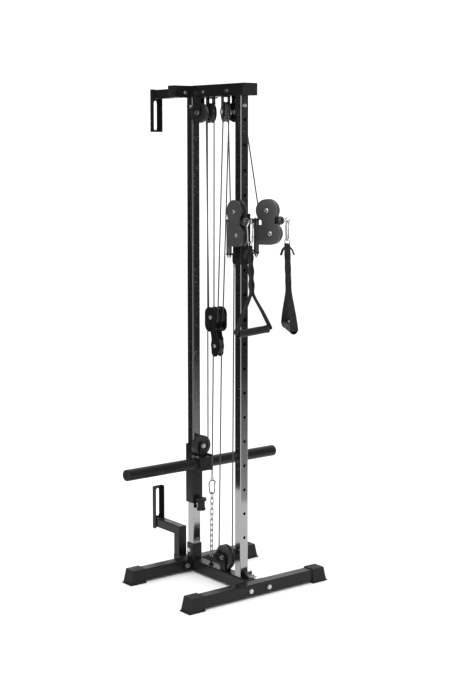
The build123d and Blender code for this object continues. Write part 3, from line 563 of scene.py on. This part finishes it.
# ---- handles ------------------------------------------------------------------------------
GRIP_HALF = 72 * MM
GRIP_R = 16.5 * MM
GRIP_BORE = 12.9 * MM
LEG_REACH = 85 * MM
WEB = 2.2 * MM             # webbing thickness
WEB_WIDTH = 24 * MM
RING_WIRE = 2.2 * MM
NECK_SHARE = 0.46          # apex, from the grip's centre towards the ring
DAISY_LOOPS = 3
DAISY_BULGE = 4 * MM


def grip_profile():
    """Rubber grip with end collars and shallow ribs."""
    outer = [(-GRIP_HALF, GRIP_R - 1.5 * MM), (-GRIP_HALF + 1.5 * MM, GRIP_R), (-GRIP_HALF + 6 * MM, GRIP_R)]
    outer.append((-GRIP_HALF + 8 * MM, GRIP_R - 1.6 * MM))
    ribs = 30
    length = 2 * (GRIP_HALF - 9 * MM)
    for k in range(ribs * 2 + 1):
        swell = 0.7 * MM * sin(pi * k / (ribs * 2))
        low = 0.5 * MM if k % 2 else 0
        outer.append((-GRIP_HALF + 9 * MM + length * k / (ribs * 2), GRIP_R - 1.5 * MM + swell - low))
    outer += [(-a, r) for a, r in reversed(outer[:4])]
    return outer + [(GRIP_HALF, GRIP_BORE), (-GRIP_HALF, GRIP_BORE)]


def handle(side):
    centre, lean = joint_at(f"{side}_grip_spin"), joint_axis(f"{side}_grip_spin")
    flat = Vector((lean.x, lean.y, 0)).normalized()
    wide = Vector((-flat.y, flat.x, 0))
    swing = joint_at(f"{side}_handle_swing")
    ring_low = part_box(f"{side}_carabiner")[0].z
    top = Vector((swing.x, swing.y, ring_low))
    wire = top + UP * RING_WIRE
    apex = centre + (top - centre) * NECK_SHARE
    down = (apex - top).normalized()
    across = wide.cross(down).normalized()
    if across.dot(lean) < 0:
        across = -across
    neck = (apex - top).length
    points, faces = [], []

    def leg_width(share):
        """The legs are wider near the grip, and narrow again to go inside it."""
        return 1 + 0.4 * sin(pi * min(max((share - 0.45) / 0.5, 0), 1)) ** 2

    def add(path, width=WEB_WIDTH, thickness=WEB, widen=None, along_width=wide):
        more, quads = ribbon_data(path, along_width, width, thickness, len(points), widen)
        points.extend(more)
        faces.extend(quads)

    for sign in (-1, 1):
        out = across * sign
        # Round the ring, down the neck, out to the grip's end and into it.
        path = [wire + UP * (RING_WIRE + WEB * 0.7), wire + UP * 3 * MM + out * 3.2 * MM, wire + out * 4 * MM]
        path += [top + down * 9 * MM + out * WEB * 0.55, apex + out * WEB * 0.55 - down * 8 * MM]
        end = centre + lean * sign * LEG_REACH
        path += [apex.lerp(end, 0.12), apex.lerp(end, 0.5) + out * 3 * MM, apex.lerp(end, 0.86)]
        path += [end + (centre - apex).normalized() * 2 * MM, centre + lean * sign * (GRIP_HALF - 4 * MM)]
        path += [centre + lean * sign * (GRIP_HALF - 30 * MM)]
        add(rounded(path), widen=leg_width)
        # Daisy chain: a second web stands off in lens-shaped loops between stitched bars.
        path = []
        steps = 16 * DAISY_LOOPS
        for k in range(steps + 1):
            stand_off = DAISY_BULGE * sin(pi * k / 16) ** 2
            path.append(top + down * (10 * MM + (neck - 12 * MM) * k / steps) + out * (WEB * 1.6 + stand_off))
        add(path, WEB_WIDTH - 1 * MM)
        # Loose tail beside the ring, to the left or right.
        spread, flat_side = (across, wide) if abs(across.x) > abs(wide.x) else (wide, across)
        away = spread * sign
        twisted = (flat_side + away * 0.8 - down * 0.5).normalized()
        start = top + down * 8 * MM + away * 3 * MM
        path = [start + down * 10 * MM, start, start + away * 9 * MM + down * 2 * MM]
        path += [start + away * 18 * MM + down * 14 * MM, start + away * 25 * MM + down * 34 * MM]
        add(rounded(path, 2), WEB_WIDTH * 0.5, along_width=twisted)
    strap = add_mesh(f"{side}_webbing", points, faces, "webbing")
    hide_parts(f"{side}_strap")
    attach(strap, f"{side}_handle")

    # Bar tacks: rows of thread across the neck, where the loops meet.
    points, faces = [], []
    for k in range(DAISY_LOOPS + 1):
        at = top + down * (10 * MM + (neck - 12 * MM) * k / DAISY_LOOPS)
        for sign in (-1, 1):
            for row in (-3, 0, 3):
                for stitch in range(-4, 5):
                    middle = at + down * row * MM + wide * stitch * 2.4 * MM
                    middle += across * sign * (WEB * 2.1 + 0.15 * MM)
                    half = wide * 0.9 * MM + down * 0.5 * MM * (1 if stitch % 2 else -1)
                    more, quads = tube_data([middle - half, middle, middle + half], 0.35 * MM, 6, len(points))
                    points += more
                    faces += quads
    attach(add_mesh(f"{side}_bar_tacks", points, faces, "webbing", surface=THREAD), f"{side}_handle")

    grip = lathe(f"{side}_ribbed_grip", centre, lean, grip_profile(), "grip_foam", 56)
    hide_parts(f"{side}_grip")
    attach(grip, f"{side}_grip")


for side in SIDES:
    handle(side)

# ---- studio -------------------------------------------------------------------------------
FLOOR_HALF = 14
FRONT_BACK = 331 * MM      # between the two uprights' centre lines


def plane(name, corners, surface, camera_sees=True):
    mesh = bpy.data.meshes.new(name)
    mesh.from_pydata(corners, [], [(0, 1, 2, 3)])
    mesh.materials.append(surface)
    made = bpy.data.objects.new(name, mesh)
    bpy.context.scene.collection.objects.link(made)
    made.visible_camera = camera_sees
    made.visible_diffuse = camera_sees
    made.visible_shadow = camera_sees
    return made


floor_surface = material(
    "studio_floor", (0.86, 0.86, 0.86), (0.88, 0.88, 0.88), 0.9, scale=2, depth=0.0, specular=0.1
)
h = FLOOR_HALF
plane("floor", [(-h, -h, 0), (h, -h, 0), (h, h, 0), (-h, h, 0)], floor_surface)

# Flags that only reflections see: they give the chrome dark sides, as in a real studio.
FLAG_AWAY = 1.4
FLAG_WIDE = 1.1
FLAG_TALL = 4.0
FLAG_FADE = 0.75           # height at which a flag reaches its upper grey


def flag_material(name, low_grey, high_grey, fade):
    """Matt grey that darkens from the floor up to the height fade."""
    made = material(name, (high_grey,) * 3, (high_grey,) * 3, 0.9, scale=2, depth=0.0, specular=0.0)
    nodes, links = made.node_tree.nodes, made.node_tree.links
    place = nodes.new("ShaderNodeTexCoord")
    split = nodes.new("ShaderNodeSeparateXYZ")
    height = nodes.new("ShaderNodeMapRange")
    height.inputs["From Max"].default_value = fade
    colour = nodes.new("ShaderNodeMix")
    colour.data_type = "RGBA"
    colour.inputs["A"].default_value = (low_grey, low_grey, low_grey, 1)
    colour.inputs["B"].default_value = (high_grey, high_grey, high_grey, 1)
    links.new(place.outputs["Object"], split.inputs["Vector"])
    links.new(split.outputs["Z"], height.inputs["Value"])
    links.new(height.outputs["Result"], colour.inputs["Factor"])
    links.new(colour.outputs["Result"], nodes["Principled BSDF"].inputs["Base Color"])
    return made


FLAGS = (("rear_flag", 142.1, 0.04, 0.03), ("side_flag", -52.1, 0.5, 0.04))
for name, heading, low_grey, high_grey in FLAGS:
    ahead = Vector((cos(radians(heading)), sin(radians(heading)), 0))
    beside = UP.cross(ahead)
    foot = Vector((0, REAR_Y, 0.02)) + ahead * FLAG_AWAY
    if name == "side_flag":
        foot.y -= FRONT_BACK
    corners = [foot - beside * FLAG_WIDE, foot + beside * FLAG_WIDE]
    corners += [corners[1] + UP * FLAG_TALL, corners[0] + UP * FLAG_TALL]
    plane(name, corners, flag_material(name, low_grey, high_grey, FLAG_FADE), camera_sees=False)

world = bpy.data.worlds.new("studio")
world.use_nodes = True
world.node_tree.nodes["Background"].inputs["Color"].default_value = (1, 1, 1, 1)
world.node_tree.nodes["Background"].inputs["Strength"].default_value = 1.25
bpy.context.scene.world = world


def softbox(name, at, target, size, power):
    lamp = bpy.data.objects.new(name, bpy.data.lights.new(name, "AREA"))
    lamp.data.shape = "RECTANGLE"
    lamp.data.size, lamp.data.size_y = size
    lamp.data.energy = power
    lamp.location = at
    lamp.rotation_euler = (Vector(target) - Vector(at)).to_track_quat("-Z", "Y").to_euler()
    bpy.context.scene.collection.objects.link(lamp)


softbox("key", (-3.2, -2.4, 3.6), (0, 0, 1.0), (1.6, 2.4), 80)
softbox("fill", (3.4, -3.0, 2.6), (0, 0, 1.0), (1.2, 2.2), 30)
softbox("top", (0.4, 0.6, 4.6), (0, 0, 1.0), (2.6, 2.6), 35)

bpy.context.scene.view_settings.view_transform = "Standard"
